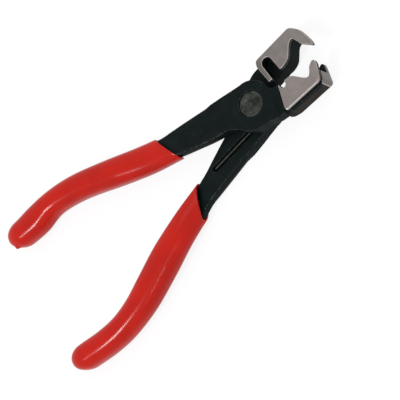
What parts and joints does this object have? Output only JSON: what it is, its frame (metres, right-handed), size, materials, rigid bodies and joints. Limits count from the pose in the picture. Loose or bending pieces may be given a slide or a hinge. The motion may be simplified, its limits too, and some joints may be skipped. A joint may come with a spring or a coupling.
{
  "type": "hose clamp pliers",
  "caption": "Lap-joint pliers with a thin beak over a slotted jaw and a blunt forked jaw, for squeezing spring hose clamps, with a return spring and dipped grips.",
  "frame": {"origin": "on the pivot axis, at the rear face of the joint, where the rivet's flat tail and the back lever's lap half rest on a table", "axes": "+Z along the pivot axis, from the rear face to the front face with the bright jaw faces; +Y from the handles to the jaws, along the middle of the open tool; +X across the tool, towards the handle of the back lever"},
  "size_m": [0.0846, 0.178, 0.0126],
  "materials": {
    "blackened_steel": "semi-matt black over forged steel, rubbed at the edges",
    "ground_steel": "finely ground, satin",
    "rivet_steel": "dark, rubbed and scratched",
    "spring_wire": "dark drawn wire",
    "dipped_vinyl": "smooth dipped vinyl, soft gloss"
  },
  "bodies": {
    "back_half": {"back_lever": "blackened_steel", "back_jaw_plate": "ground_steel", "pivot_rivet": "rivet_steel", "return_spring": "spring_wire", "back_grip": "dipped_vinyl"},
    "front_half": {"front_lever": "blackened_steel", "front_jaw_plate": "ground_steel", "front_grip": "dipped_vinyl"}
  },
  "joints": [
    {"name": "jaw_pivot", "type": "hinge", "parent": "back_half", "child": "front_half", "pos_m": [0, 0, 0], "axis": [0, 0, 1], "range_deg": [-20, 15], "stiffness_Nm_per_rad": 0.3, "deforming": ["return_spring"]}
  ]
}
